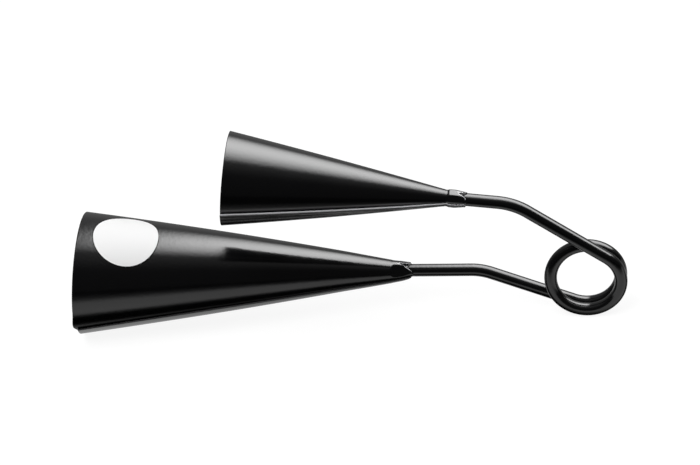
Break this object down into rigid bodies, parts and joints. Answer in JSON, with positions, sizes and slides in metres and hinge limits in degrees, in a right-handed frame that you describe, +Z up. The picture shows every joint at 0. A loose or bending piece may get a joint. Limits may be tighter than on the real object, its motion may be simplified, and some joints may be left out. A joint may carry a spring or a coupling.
{
  "type": "agogo bell",
  "caption": "Hand percussion of a low and a high conical steel bell, rolled from sheet and welded to the ends of a spring rod with a finger loop.",
  "frame": {"origin": "on the ground below the middle of the whole instrument, as it stands on the low bell's rim and the spring loop", "axes": "+X along the instrument from the mouths to the spring loop, +Y across it along the loop's axis to the back, +Z up to the high bell"},
  "size_m": [0.352, 0.0886, 0.1434],
  "materials": {
    "black_powder_coat": "semi-gloss black powder coat on steel",
    "white_vinyl": "plain white vinyl sticker"
  },
  "bodies": {
    "low_side": {"low_bell": "black_powder_coat", "low_neck_weld": "black_powder_coat", "label": "white_vinyl", "lower_arm": "black_powder_coat", "spring_loop": "black_powder_coat"},
    "high_side": {"high_bell": "black_powder_coat", "high_neck_weld": "black_powder_coat", "upper_arm": "black_powder_coat"}
  },
  "joints": [
    {"name": "squeeze", "type": "hinge", "parent": "low_side", "child": "high_side", "pos_m": [0.15005, -0.00494, 0.02595], "axis": [0, -1, 0], "range_deg": [0, 7.3], "stiffness_Nm_per_rad": 190, "deforming": ["spring_loop"]}
  ]
}
